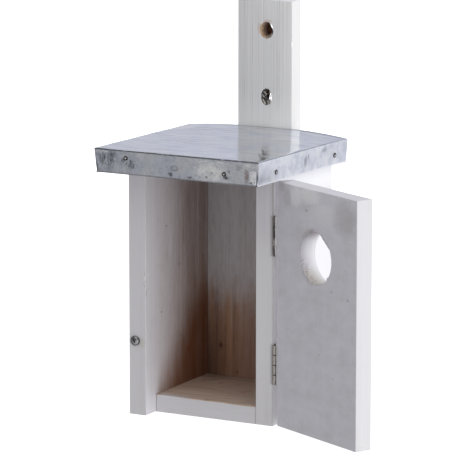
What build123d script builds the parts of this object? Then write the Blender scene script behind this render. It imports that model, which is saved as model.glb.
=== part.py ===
from build123d import *
import os
from math import atan2, cos, degrees, radians, sin

# Small wooden bird nest box with its door standing open. Millimetres, +Z up.
# X runs to the right and +Y to the back. The origin is the middle of the base.

# Boards of the box
board = 12.0
floor_thickness = 11.4
inner_width = 71.0
side_depth = 79.0
side_height = 159.0
roof_fall = 0.9
edge_ease = 0.4

# Door and its running gaps
door_thickness = 11.6
door_lift = 1.0
door_gap = 1.0
door_side_gap = 1.0
door_top_gap = 4.5
door_opening = 153.0
entrance_diameter = 32.0
entrance_below_top = 41.7
entrance_from_hinge = 40.0

# Butt hinges
hinge_length = 25.0
hinge_leaf_reach = 9.0
hinge_sheet = 0.8
knuckle_radius = 1.5
knuckle_count = 4
knuckle_gap = 0.25
knuckle_clearance = 0.3
pin_offset = 1.7
hinge_pin_radius = 0.7
hinge_pin_clearance = 0.1
lower_hinge_above_bottom = 38.3
upper_hinge_below_top = 34.5
hinge_screw_offset = 5.6
hinge_screw_pitch = 14.0
hinge_screw_radius = 0.9
hinge_screw_head_radius = 1.7
hinge_screw_length = 9.0

# Roof board and the folded sheet over it
left_overhang = 9.9
right_overhang = 10.0
front_overhang = 25.4
roof_back_gap = 0.3
sheet = 0.7
sheet_back_lip = 2.0
batten_notch_gap = 0.5
skirt_depth = 15.0
skirt_lean = 1.2
skirt_slack = 0.1

# Hanging batten
batten_width = 38.6
batten_thickness = 12.4
batten_length = 250.0
batten_lift = 4.0
batten_shift = -0.7
hanging_hole_diameter = 10.6
hanging_hole_from_top = 19.4
hanging_hole_spacing = 42.5
hanging_hole_shift = 1.1

# Wire nails, and where they are driven
nail_radius = 0.8
nail_head_radius = 1.4
nail_head_height = 0.5
nail_length = 22.0
nail_slack = 0.05
skirt_nail_drop = 9.6
high_nail_drop = 5.3
skirt_nail_from_left = 21.0
skirt_nail_from_right = 24.0
skirt_nail_from_front = 23.0
skirt_nail_from_back = 16.5
floor_nail_inset = 16.0
wall_nail_above_floor = 20.0
wall_nail_below_top = 30.0
wall_nail_count = 3

# Batten screws and the pan head screw in the edge of the left wall
batten_screw_radius = 1.5
batten_screw_head_radius = 3.2
batten_screw_head_height = 2.2
batten_screw_bite = 8.5
batten_screw_above_floor = 13.0
batten_screw_below_top = 25.0
batten_screw_count = 3
catch_screw_head_radius = 3.1
catch_screw_head_height = 2.0
catch_screw_radius = 1.5
catch_screw_length = 16.0
catch_screw_height = 47.4
catch_screw_from_outside = 4.6
catch_recess_width = 0.9
catch_recess_length = 3.6
catch_recess_depth = 0.9

# Faces of the box, from the sizes above
half_width = inner_width / 2 + board
inner_side = inner_width / 2
box_front = -side_depth / 2
box_back = side_depth / 2
back_wall_front = box_back - board
left_wall_front = box_front - door_gap - door_thickness
chamber_depth = side_depth - board
door_height = side_height - door_lift - door_top_gap
door_top = door_lift + door_height
side_reach = side_height + sin(radians(roof_fall)) * side_depth + board

# The plane of the roof board's underside, low at the back
roof_plane = Plane(
    origin=(0, left_wall_front, side_height),
    x_dir=(1, 0, 0),
    z_dir=(0, sin(radians(roof_fall)), cos(radians(roof_fall))),
)
roof_back = (box_back - left_wall_front - roof_back_gap) / cos(radians(roof_fall))
cap_left = -half_width - left_overhang
cap_right = half_width + right_overhang
cap_front = -front_overhang
cap_width = cap_right - cap_left
board_length = roof_back - cap_front
cap_length = board_length + sheet_back_lip
cap_top = board + sheet
cap_middle = (cap_left + cap_right) / 2
skirt_bottom = cap_top - skirt_depth
lean_angle = atan2(skirt_lean, skirt_depth)
roof_board_inset = sheet + skirt_lean + skirt_slack

# The door is drawn in its own frame: x from the pin to the free edge, y outwards
pin_x = half_width + pin_offset
pin_y = box_front - door_gap / 2
door_turn = radians(180 + door_opening)
door_frame = Plane(
    origin=(pin_x, pin_y, 0),
    x_dir=(cos(door_turn), sin(door_turn), 0),
    z_dir=(0, 0, 1),
)
wall_frame = Plane(origin=(pin_x, pin_y, 0), x_dir=(0, 1, 0), z_dir=(0, 0, 1))
door_width = inner_width + board - door_side_gap
door_inner_face = door_gap / 2
door_outer_face = door_inner_face + door_thickness
entrance_height = door_top - entrance_below_top

os.makedirs("parts", exist_ok=True)


def save(piece, name):
    """Name a finished piece and write it as its own file."""
    piece.label = name
    export_step(piece, f"parts/{name}.step")


def even_rows(first, last, count):
    """Heights from first to last, evenly spaced."""
    return [first + (last - first) * i / (count - 1) for i in range(count)]


def skirt_spot(x, y, drop, outward):
    """A spot on a skirt, seen from outside, at a drop below the top of the sheet."""
    inset = skirt_lean * drop / skirt_depth
    normal = Vector(*outward, 0) * cos(lean_angle) - Vector(0, 0, sin(lean_angle))
    spot = Vector(x - outward[0] * inset, y - outward[1] * inset, cap_top - drop)
    return roof_plane.location * Plane(origin=spot, z_dir=normal).location


# Where the nails go, each spot on the outer face with its axis outwards
front_skirt_spots = [
    skirt_spot(cap_left + skirt_nail_from_left, cap_front, high_nail_drop, (0, -1)),
    skirt_spot(cap_right - skirt_nail_from_right, cap_front, skirt_nail_drop, (0, -1)),
]
side_skirt_rows = [cap_front + skirt_nail_from_front, roof_back - skirt_nail_from_back]
right_skirt_spots = [skirt_spot(cap_right, y, skirt_nail_drop, (1, 0)) for y in side_skirt_rows]
left_skirt_spots = [skirt_spot(cap_left, y, skirt_nail_drop, (-1, 0)) for y in side_skirt_rows]

floor_rows = [box_front + floor_nail_inset, back_wall_front - floor_nail_inset]
wall_rows = even_rows(
    floor_thickness + wall_nail_above_floor,
    side_height - wall_nail_below_top,
    wall_nail_count,
)
side_spots = [(y, floor_thickness / 2) for y in floor_rows]
side_spots += [(box_back - board / 2, z) for z in wall_rows]
right_wall_spots = [Plane(origin=(half_width, y, z), z_dir=(1, 0, 0)) for y, z in side_spots]
left_wall_spots = [Plane(origin=(-half_width, y, z), z_dir=(-1, 0, 0)) for y, z in side_spots]
floor_columns = [-inner_side + floor_nail_inset / 2, inner_side - floor_nail_inset / 2]
back_wall_spots = [
    Plane(origin=(x, box_back, floor_thickness / 2), z_dir=(0, 1, 0)) for x in floor_columns
]

# Batten spots, on its back face, and the spot of the pan head screw
batten_back = box_back + batten_thickness
batten_top = batten_lift + batten_length
batten_rows = even_rows(
    floor_thickness + batten_screw_above_floor,
    side_height - batten_screw_below_top,
    batten_screw_count,
)
batten_spots = [
    Plane(origin=(batten_shift, batten_back, z), z_dir=(0, 1, 0)) for z in batten_rows
]
hanging_x = batten_shift + hanging_hole_shift
hanging_rows = [batten_top - hanging_hole_from_top - hanging_hole_spacing * i for i in range(2)]
hanging_spots = [Plane(origin=(hanging_x, batten_back, z), z_dir=(0, 1, 0)) for z in hanging_rows]
catch_spot = Plane(
    origin=(catch_screw_from_outside - half_width, left_wall_front, catch_screw_height),
    z_dir=(0, -1, 0),
)

# Hinge screw spots, on the outer face of each leaf
hinge_heights = {
    "lower": door_lift + lower_hinge_above_bottom,
    "upper": door_top - upper_hinge_below_top,
}
leaf_face = pin_offset - hinge_sheet


def leaf_screw_spots(frame, side, height):
    """The two countersunk screws of a leaf, on its outer face."""
    rows = [height - hinge_screw_pitch / 2, height + hinge_screw_pitch / 2]
    face = Plane(origin=(0, 0, 0), x_dir=(0, 0, 1), z_dir=(0, side, 0))
    spots = []
    for row in rows:
        spot = Location((hinge_screw_offset, side * -leaf_face, row))
        spots.append(frame.location * spot * face.location)
    return spots


# The wall leaf lies along the right wall, the door leaf along the door's hinge edge
door_leaf_frame = Plane(
    origin=(pin_x, pin_y, 0),
    x_dir=(-sin(door_turn), cos(door_turn), 0),
    z_dir=(0, 0, 1),
)
leaf_frames = {"wall": (wall_frame, -1), "door": (door_leaf_frame, 1)}
leaf_screws = {
    (hinge, side): leaf_screw_spots(*leaf_frames[side], height)
    for hinge, height in hinge_heights.items()
    for side in leaf_frames
}

# Left side board, which reaches forward past the door's free edge
with BuildPart() as left_wall:
    with BuildSketch():
        with Locations((-half_width, left_wall_front)):
            Rectangle(board, box_back - left_wall_front, align=(Align.MIN, Align.MIN))
    extrude(amount=side_reach)
    split(bisect_by=roof_plane, keep=Keep.BOTTOM)
    fillet(left_wall.edges(), edge_ease)
    with Locations(*left_wall_spots):
        Hole(nail_radius + nail_slack, board)
    with Locations(catch_spot):
        Hole(catch_screw_radius + nail_slack, catch_screw_length)
save(left_wall.part, "left_wall")

# Right side board, which carries the hinges
with BuildPart() as right_wall:
    with BuildSketch():
        with Locations((half_width, box_front)):
            Rectangle(board, side_depth, align=(Align.MAX, Align.MIN))
    extrude(amount=side_reach)
    split(bisect_by=roof_plane, keep=Keep.BOTTOM)
    fillet(right_wall.edges(), edge_ease)
    with Locations(*right_wall_spots):
        Hole(nail_radius + nail_slack, board)
    with Locations(*leaf_screws["lower", "wall"], *leaf_screws["upper", "wall"]):
        Hole(hinge_screw_radius + nail_slack, hinge_sheet + hinge_screw_length)
save(right_wall.part, "right_wall")

# Back board, held between the side boards
with BuildPart() as back_wall:
    with BuildSketch():
        with Locations((0, back_wall_front)):
            Rectangle(inner_width, board, align=(Align.CENTER, Align.MIN))
    extrude(amount=side_reach)
    split(bisect_by=roof_plane, keep=Keep.BOTTOM)
    fillet(back_wall.edges(), edge_ease)
    with Locations(*right_wall_spots, *left_wall_spots):
        Hole(nail_radius + nail_slack, nail_length)
    with Locations(*back_wall_spots):
        Hole(nail_radius + nail_slack, board)
    with Locations(*batten_spots):
        Hole(batten_screw_radius + nail_slack, batten_thickness + batten_screw_bite)
save(back_wall.part, "back_wall")

# Floor board, nailed through the sides and the back
with BuildPart() as floor_board:
    with BuildSketch():
        with Locations((0, box_front)):
            Rectangle(inner_width, chamber_depth, align=(Align.CENTER, Align.MIN))
    extrude(amount=floor_thickness)
    fillet(floor_board.edges(), edge_ease)
    with Locations(*right_wall_spots, *left_wall_spots, *back_wall_spots):
        Hole(nail_radius + nail_slack, nail_length)
save(floor_board.part, "floor_board")

# Roof board, which lies on the walls inside the skirts of the sheet
with BuildPart() as roof_board:
    with BuildSketch(roof_plane):
        with Locations((cap_left + roof_board_inset, cap_front + roof_board_inset)):
            Rectangle(
                cap_width - 2 * roof_board_inset,
                board_length - roof_board_inset,
                align=(Align.MIN, Align.MIN),
            )
    extrude(amount=board)
    fillet(roof_board.edges(), edge_ease)
    with Locations(*front_skirt_spots, *right_skirt_spots, *left_skirt_spots):
        Hole(nail_radius + nail_slack, nail_length)
save(roof_board.part, "roof_board")

# Folded sheet: a top with skirts in front and at both sides. It is open at the back,
# where it stands a little proud of the board and is cut out round the batten.
with BuildPart() as roof_cap:
    with BuildSketch(roof_plane.offset(cap_top)):
        with Locations((cap_middle, cap_front)):
            Rectangle(cap_width, cap_length, align=(Align.CENTER, Align.MIN))
    with BuildSketch(roof_plane.offset(skirt_bottom)):
        with Locations((cap_middle, cap_front + skirt_lean)):
            Rectangle(
                cap_width - 2 * skirt_lean,
                cap_length - skirt_lean,
                align=(Align.CENTER, Align.MIN),
            )
    loft()
    with BuildSketch(roof_plane.offset(board)):
        with Locations((cap_middle, cap_front + sheet)):
            Rectangle(cap_width - 2 * sheet, cap_length, align=(Align.CENTER, Align.MIN))
    with BuildSketch(roof_plane.offset(skirt_bottom)):
        with Locations((cap_middle, cap_front + sheet + skirt_lean)):
            Rectangle(
                cap_width - 2 * (sheet + skirt_lean),
                cap_length - skirt_lean,
                align=(Align.CENTER, Align.MIN),
            )
    loft(mode=Mode.SUBTRACT)
    with BuildSketch(roof_plane.offset(board - sheet)):
        with Locations((batten_shift, roof_back)):
            Rectangle(
                batten_width + 2 * batten_notch_gap,
                2 * sheet_back_lip,
                align=(Align.CENTER, Align.MIN),
            )
    extrude(amount=3 * sheet, mode=Mode.SUBTRACT)
    with Locations(*front_skirt_spots, *right_skirt_spots, *left_skirt_spots):
        Hole(nail_radius + nail_slack, skirt_lean + 2 * sheet)
save(roof_cap.part, "roof_cap")

# Hanging batten up the back, drilled twice above the roof
with BuildPart() as hanging_batten:
    with BuildSketch(Plane.XY.offset(batten_lift)):
        with Locations((batten_shift, box_back)):
            Rectangle(batten_width, batten_thickness, align=(Align.CENTER, Align.MIN))
    extrude(amount=batten_length)
    fillet(hanging_batten.edges(), edge_ease)
    with Locations(*hanging_spots):
        Hole(hanging_hole_diameter / 2, batten_thickness)
    with Locations(*batten_spots):
        Hole(batten_screw_radius + nail_slack, batten_thickness)
        Cone(
            batten_screw_radius,
            batten_screw_head_radius + nail_slack,
            batten_screw_head_height,
            align=(Align.CENTER, Align.CENTER, Align.MAX),
            mode=Mode.SUBTRACT,
        )
save(hanging_batten.part, "hanging_batten")

# Door board with the round entrance, drawn where it stands open
entrance_spot = door_frame.location * Plane(
    origin=(pin_offset + entrance_from_hinge, door_outer_face, entrance_height),
    z_dir=(0, 1, 0),
).location
with BuildPart() as door:
    with BuildSketch(door_frame.offset(door_lift)):
        with Locations((pin_offset, door_inner_face)):
            Rectangle(door_width, door_thickness, align=(Align.MIN, Align.MIN))
    extrude(amount=door_height)
    with Locations(entrance_spot):
        Hole(entrance_diameter / 2, door_thickness)
    fillet(door.edges(), edge_ease)
    with Locations(*leaf_screws["lower", "door"], *leaf_screws["upper", "door"]):
        Hole(hinge_screw_radius + nail_slack, hinge_sheet + hinge_screw_length)
save(door.part, "door")

# Hinges: each leaf is a plate with two of the four knuckles rolled on its edge
knuckle_pitch = hinge_length / knuckle_count
knuckle_height = knuckle_pitch - knuckle_gap
leaf_turns = {"wall": 0, "door": 1}
for hinge, height in hinge_heights.items():
    for side, (frame, plate_side) in leaf_frames.items():
        bottom = height - hinge_length / 2
        own_rows = range(leaf_turns[side], knuckle_count, 2)
        other_rows = range(1 - leaf_turns[side], knuckle_count, 2)
        with BuildPart() as leaf:
            with BuildSketch(frame.offset(bottom)):
                with Locations((0, plate_side * -(pin_offset + leaf_face) / 2)):
                    Rectangle(hinge_leaf_reach, hinge_sheet, align=(Align.MIN, Align.CENTER))
            extrude(amount=hinge_length)
            for row in other_rows:
                with BuildSketch(frame.offset(bottom + row * knuckle_pitch)):
                    Rectangle(2 * (knuckle_radius + knuckle_clearance), 2 * (pin_offset + hinge_sheet))
                extrude(amount=knuckle_pitch, mode=Mode.SUBTRACT)
            for row in own_rows:
                with BuildSketch(frame.offset(bottom + row * knuckle_pitch + knuckle_gap / 2)):
                    Circle(knuckle_radius)
                extrude(amount=knuckle_height)
            with BuildSketch(frame.offset(bottom)):
                Circle(hinge_pin_radius + hinge_pin_clearance)
            extrude(amount=hinge_length, mode=Mode.SUBTRACT)
            with Locations(*leaf_screws[hinge, side]):
                Cone(
                    hinge_screw_radius + nail_slack,
                    hinge_screw_head_radius + nail_slack,
                    hinge_sheet,
                    align=(Align.CENTER, Align.CENTER, Align.MAX),
                    mode=Mode.SUBTRACT,
                )
        save(leaf.part, f"{hinge}_hinge_{side}_leaf")
        with BuildPart() as leaf_screw_pair:
            with Locations(*leaf_screws[hinge, side]):
                Cone(
                    hinge_screw_radius,
                    hinge_screw_head_radius,
                    hinge_sheet,
                    align=(Align.CENTER, Align.CENTER, Align.MAX),
                )
                Cylinder(
                    hinge_screw_radius,
                    hinge_sheet + hinge_screw_length,
                    align=(Align.CENTER, Align.CENTER, Align.MAX),
                )
        save(leaf_screw_pair.part, f"{hinge}_hinge_{side}_screws")
    with BuildPart() as hinge_pin:
        with BuildSketch(wall_frame.offset(height - hinge_length / 2)):
            Circle(hinge_pin_radius)
        extrude(amount=hinge_length)
    save(hinge_pin.part, f"{hinge}_hinge_pin")

# Wire nails with flat heads that sit on the face they are driven into
nail_groups = {
    "front_roof_nails": front_skirt_spots,
    "right_roof_nails": right_skirt_spots,
    "left_roof_nails": left_skirt_spots,
    "right_wall_nails": right_wall_spots,
    "left_wall_nails": left_wall_spots,
    "back_wall_nails": back_wall_spots,
}
for name, spots in nail_groups.items():
    with BuildPart() as nails:
        with Locations(*spots):
            Cylinder(
                nail_head_radius,
                nail_head_height,
                align=(Align.CENTER, Align.CENTER, Align.MIN),
            )
            Cylinder(nail_radius, nail_length, align=(Align.CENTER, Align.CENTER, Align.MAX))
    save(nails.part, name)

# Countersunk screws that hold the batten to the back board
with BuildPart() as batten_screws:
    with Locations(*batten_spots):
        Cone(
            batten_screw_radius,
            batten_screw_head_radius,
            batten_screw_head_height,
            align=(Align.CENTER, Align.CENTER, Align.MAX),
        )
        Cylinder(
            batten_screw_radius,
            batten_thickness + batten_screw_bite,
            align=(Align.CENTER, Align.CENTER, Align.MAX),
        )
save(batten_screws.part, "batten_screws")

# Pan head screw with a cross recess, in the front edge of the left wall
with BuildPart() as catch_screw:
    with Locations(catch_spot):
        Cylinder(
            catch_screw_head_radius,
            catch_screw_head_height,
            align=(Align.CENTER, Align.CENTER, Align.MIN),
        )
        Cylinder(
            catch_screw_radius,
            catch_screw_length,
            align=(Align.CENTER, Align.CENTER, Align.MAX),
        )
    rim = catch_screw.edges().filter_by(GeomType.CIRCLE).sort_by(Axis.Y)[0]
    fillet(rim, catch_screw_head_height * 0.6)
    with Locations(catch_spot.offset(catch_screw_head_height)):
        Box(
            catch_recess_width,
            catch_recess_length,
            catch_recess_depth,
            align=(Align.CENTER, Align.CENTER, Align.MAX),
            mode=Mode.SUBTRACT,
        )
        Box(
            catch_recess_length,
            catch_recess_width,
            catch_recess_depth,
            align=(Align.CENTER, Align.CENTER, Align.MAX),
            mode=Mode.SUBTRACT,
        )
save(catch_screw.part, "catch_screw")
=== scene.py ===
from math import cos, radians, sin

import bmesh
import bpy
from mathutils import Euler, Matrix, Vector


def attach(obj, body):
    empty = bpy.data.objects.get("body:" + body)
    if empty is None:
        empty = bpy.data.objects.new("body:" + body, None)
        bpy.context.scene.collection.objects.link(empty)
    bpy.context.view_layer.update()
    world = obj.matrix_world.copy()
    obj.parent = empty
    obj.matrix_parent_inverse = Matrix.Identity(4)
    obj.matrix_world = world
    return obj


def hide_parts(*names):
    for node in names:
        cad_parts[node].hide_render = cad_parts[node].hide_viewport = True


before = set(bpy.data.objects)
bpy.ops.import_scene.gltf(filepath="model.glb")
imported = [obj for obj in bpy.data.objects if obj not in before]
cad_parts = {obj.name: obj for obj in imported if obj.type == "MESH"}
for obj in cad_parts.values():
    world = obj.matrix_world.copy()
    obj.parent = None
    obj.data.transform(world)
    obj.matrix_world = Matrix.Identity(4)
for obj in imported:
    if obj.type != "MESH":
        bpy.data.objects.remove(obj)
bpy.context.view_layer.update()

# Camera. The photograph was taken with a long lens, from the right and a little above,
# so that the open front, the roof and the inside of the door all show.
camera_turn = radians(28.67)
camera_rise = radians(10.67)
camera_distance = 2.396
camera_aim = Vector((0.00365, -0.0195, 0.119))
focal_pixels = 3847
photo_width = 452
film_width = 36


def add(operator, **sizes):
    """Add something new with nothing else selected, and give it back."""
    bpy.ops.object.select_all(action="DESELECT")
    operator(**sizes)
    return bpy.context.object


camera = add(bpy.ops.object.camera_add)
camera.name = "photo_camera"
camera.data.sensor_width = film_width
camera.data.lens = focal_pixels * film_width / photo_width
towards_camera = Vector((
    sin(camera_turn) * cos(camera_rise),
    -cos(camera_turn) * cos(camera_rise),
    sin(camera_rise),
))
camera.location = camera_aim + towards_camera * camera_distance
camera.rotation_euler = Euler((radians(90) - camera_rise, 0, camera_turn))
bpy.context.scene.camera = camera


# Side boards. Planed softwood, sawn to length and brushed with a thin whitewash on the
# outside and along the front. Inside, the brush only reached the front part, so the
# wash fades into bare brown pine towards the back and the floor; part of that darkening
# is painted shade.
mm = 0.001


class Layer:
    """One socket of a material's nodes, worked on with Python's own signs."""

    def __init__(self, socket):
        self.socket = socket

    def node(self, kind, settings={}, values={}, out=0):
        """Add any node: its settings first, then the values or links of its sockets."""
        tree = self.socket.id_data
        made = tree.nodes.new(kind)
        for name, value in settings.items():
            setattr(made, name, value)
        for name, value in values.items():
            if isinstance(value, Layer):
                tree.links.new(value.socket, made.inputs[name])
            else:
                made.inputs[name].default_value = value
        return Layer(made.outputs[out])

    def maths(self, operation, *values):
        return self.node("ShaderNodeMath", {"operation": operation}, dict(enumerate(values)))

    def __add__(self, other):
        return self.maths("ADD", self, other)

    def __sub__(self, other):
        return self.maths("SUBTRACT", self, other)

    def __rsub__(self, other):
        return self.maths("SUBTRACT", other, self)

    def __mul__(self, other):
        return self.maths("MULTIPLY", self, other)

    def __truediv__(self, other):
        return self.maths("DIVIDE", self, other)

    def __pow__(self, other):
        return self.maths("POWER", self, other)

    def __abs__(self):
        return self.maths("ABSOLUTE", self)

    __radd__ = __add__
    __rmul__ = __mul__

    def most(self, other):
        return self.maths("MAXIMUM", self, other)

    def fraction(self):
        return self.maths("FRACT", self)

    def distance(self, other):
        """How far two steps lead, one along and one across."""
        return (self * self + other * other) ** 0.5

    def ramp(self, low, high):
        """0 at low and 1 at high, with a soft step between; low may be the larger one."""
        return self.node(
            "ShaderNodeMapRange",
            {"interpolation_type": "SMOOTHSTEP"},
            {"Value": self, "From Min": low, "From Max": high},
        )

    def axis(self, name):
        """The X, Y or Z of a vector."""
        return self.node("ShaderNodeSeparateXYZ", {}, {0: self}, "XYZ".index(name))

    def stretch(self, x, y, z):
        """A vector with each axis scaled."""
        return self.node("ShaderNodeVectorMath", {"operation": "MULTIPLY"}, {0: self, 1: (x, y, z)})

    def shift(self, x, y, z):
        """A vector moved along each axis."""
        return self.node("ShaderNodeVectorMath", {"operation": "ADD"}, {0: self, 1: (x, y, z)})

    def noise(self, scale, detail=3, roughness=0.5, distortion=0):
        """Soft noise from 0 to 1, over a vector in millimetres."""
        return self.node("ShaderNodeTexNoise", {}, {
            "Vector": self,
            "Scale": scale,
            "Detail": detail,
            "Roughness": roughness,
            "Distortion": distortion,
        })

    def around(self, place, turn):
        """Places counted from a spot on a flat face, and turned in that face by some degrees."""
        return self.node(
            "ShaderNodeMapping",
            {"vector_type": "TEXTURE"},
            {"Vector": self, "Location": place, "Rotation": (0, 0, radians(turn))},
        )

    def oval(self, axes, place, size):
        """How far off a spot on a face is: 0 at its place, and 1 on an oval of that size."""
        first, second = [(self.axis(axes[i]) - place[i]) / size[i] for i in (0, 1)]
        return first.distance(second)

    def spot_near(self, axes, place, size, ragged=0):
        """1 at a place on a face and 0 outside an oval of that size, with a ragged edge."""
        reach = self.oval(axes, place, size)
        if ragged:
            reach = reach + (self.noise(0.55, 4, 0.7) - 0.5) * ragged
        return reach.ramp(1, 0.35)

    def blend(self, first, second):
        """A colour: the first where this mask is 0, and the second where it is 1."""
        return self.node("ShaderNodeMix", {"data_type": "RGBA"}, {0: self, 6: first, 7: second}, 2)

    def coats(self, *masks_and_tones):
        """This colour with others laid over it in turn, each where its mask lets it show."""
        colour = self
        for mask, tone in masks_and_tones:
            colour = mask.blend(colour, tone)
        return colour


def material_at(name, place=(0, 0, 0), turn=(0, 0, 0)):
    """A new material, its shader, places on the piece in millimetres, and their three axes."""
    material = bpy.data.materials.new(name)
    material.use_nodes = True
    tree = material.node_tree
    coordinates = Layer(tree.nodes.new("ShaderNodeTexCoord").outputs["Object"])
    places = coordinates.node(
        "ShaderNodeMapping",
        {"vector_type": "TEXTURE"},
        {"Vector": coordinates, "Location": place, "Rotation": turn, "Scale": (mm, mm, mm)},
    )
    return material, tree.nodes["Principled BSDF"], places, [places.axis(name) for name in "XYZ"]


def dress(shader, colour, roughness, relief, height, metal=0):
    """Give a shader its colour, roughness and metal, and relief of a height in millimetres."""
    values = {"Base Color": colour, "Roughness": roughness, "Metallic": metal}
    values["Normal"] = relief.node(
        "ShaderNodeBump", {}, {"Strength": 1, "Distance": height * mm, "Height": relief}
    )
    for name, value in values.items():
        if isinstance(value, Layer):
            shader.id_data.links.new(value.socket, shader.inputs[name])
        else:
            shader.inputs[name].default_value = value


def paint(red, green, blue):
    """A colour as a screen shows it, turned into the linear one that a shader takes."""
    shares = [value / 255 for value in (red, green, blue)]
    return tuple(((share + 0.055) / 1.055) ** 2.4 for share in shares) + (1,)


def drawn_out(places, along, share):
    """Places squeezed along one axis, so that noise over them runs out into streaks."""
    return places.stretch(*{"X": (share, 1, 1), "Z": (1, 1, share)}[along])


def grain(places, along, seed):
    """Fine fibres and broad streaks of sawn wood, both from 0 to 1, with the grain along an axis."""
    laid = drawn_out(places, along, 0.025).shift(seed, seed * 1.7, seed * 2.3)
    return laid.noise(1.4, 4, 0.6), laid.noise(0.22, 3, 0.55)


def knot(places, axes, place, size):
    """A knot: a dark eye with rings round it, from 0 to 1."""
    reach = places.oval(axes, place, size)
    rings = (reach * 2.6).fraction().ramp(0.2, 0.9) * reach.ramp(2.2, 0.6) * 0.5
    return reach.ramp(1, 0.4).most(rings)


wash_white = paint(223, 221, 226)
wash_soft = paint(214, 212, 216)
wash_thin = paint(196, 188, 184)
wash_smudge = paint(168, 163, 162)
wash_pink = paint(206, 190, 188)
wash_nick = paint(120, 110, 104)
pine_warm = paint(184, 148, 118)
pine_brown = paint(148, 106, 78)
pine_red = paint(142, 92, 58)
pine_deep = paint(112, 66, 34)
pine_dark = paint(88, 52, 34)


def whitewash(places, along, seed):
    """Colour and height of brushed whitewash on sawn softwood."""
    fibres, streaks = grain(places, along, seed)
    blotches = places.shift(seed * 3, 0, seed).noise(0.03, 4, 0.6)
    lines = drawn_out(places.shift(seed, seed, seed), along, 0.012).noise(0.7, 3, 0.6)
    nicks = drawn_out(places.shift(seed, 0, seed), along, 0.3).noise(0.35, 2, 0.6)
    colour = (streaks.ramp(0.3, 0.75) * 0.6).blend(wash_white, wash_soft).coats(
        (fibres.ramp(0.5, 0.75) * blotches.ramp(0.4, 0.65) * 0.3, wash_thin),
        (lines.ramp(0.62, 0.7) * 0.2, wash_thin),
        (blotches.ramp(0.58, 0.8) * 0.25, wash_smudge),
        (nicks.ramp(0.74, 0.8) * 0.5, wash_nick),
    )
    return colour, fibres * 0.6 + streaks * 0.3 + lines * 0.2


def bare_pine(places, along, seed):
    """Colour of bare, browned softwood."""
    fibres, streaks = grain(places, along, seed)
    colour = streaks.ramp(0.32, 0.68).blend(pine_warm, pine_brown)
    return colour.coats((fibres.ramp(0.52, 0.75) * 0.6, pine_dark))


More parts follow.
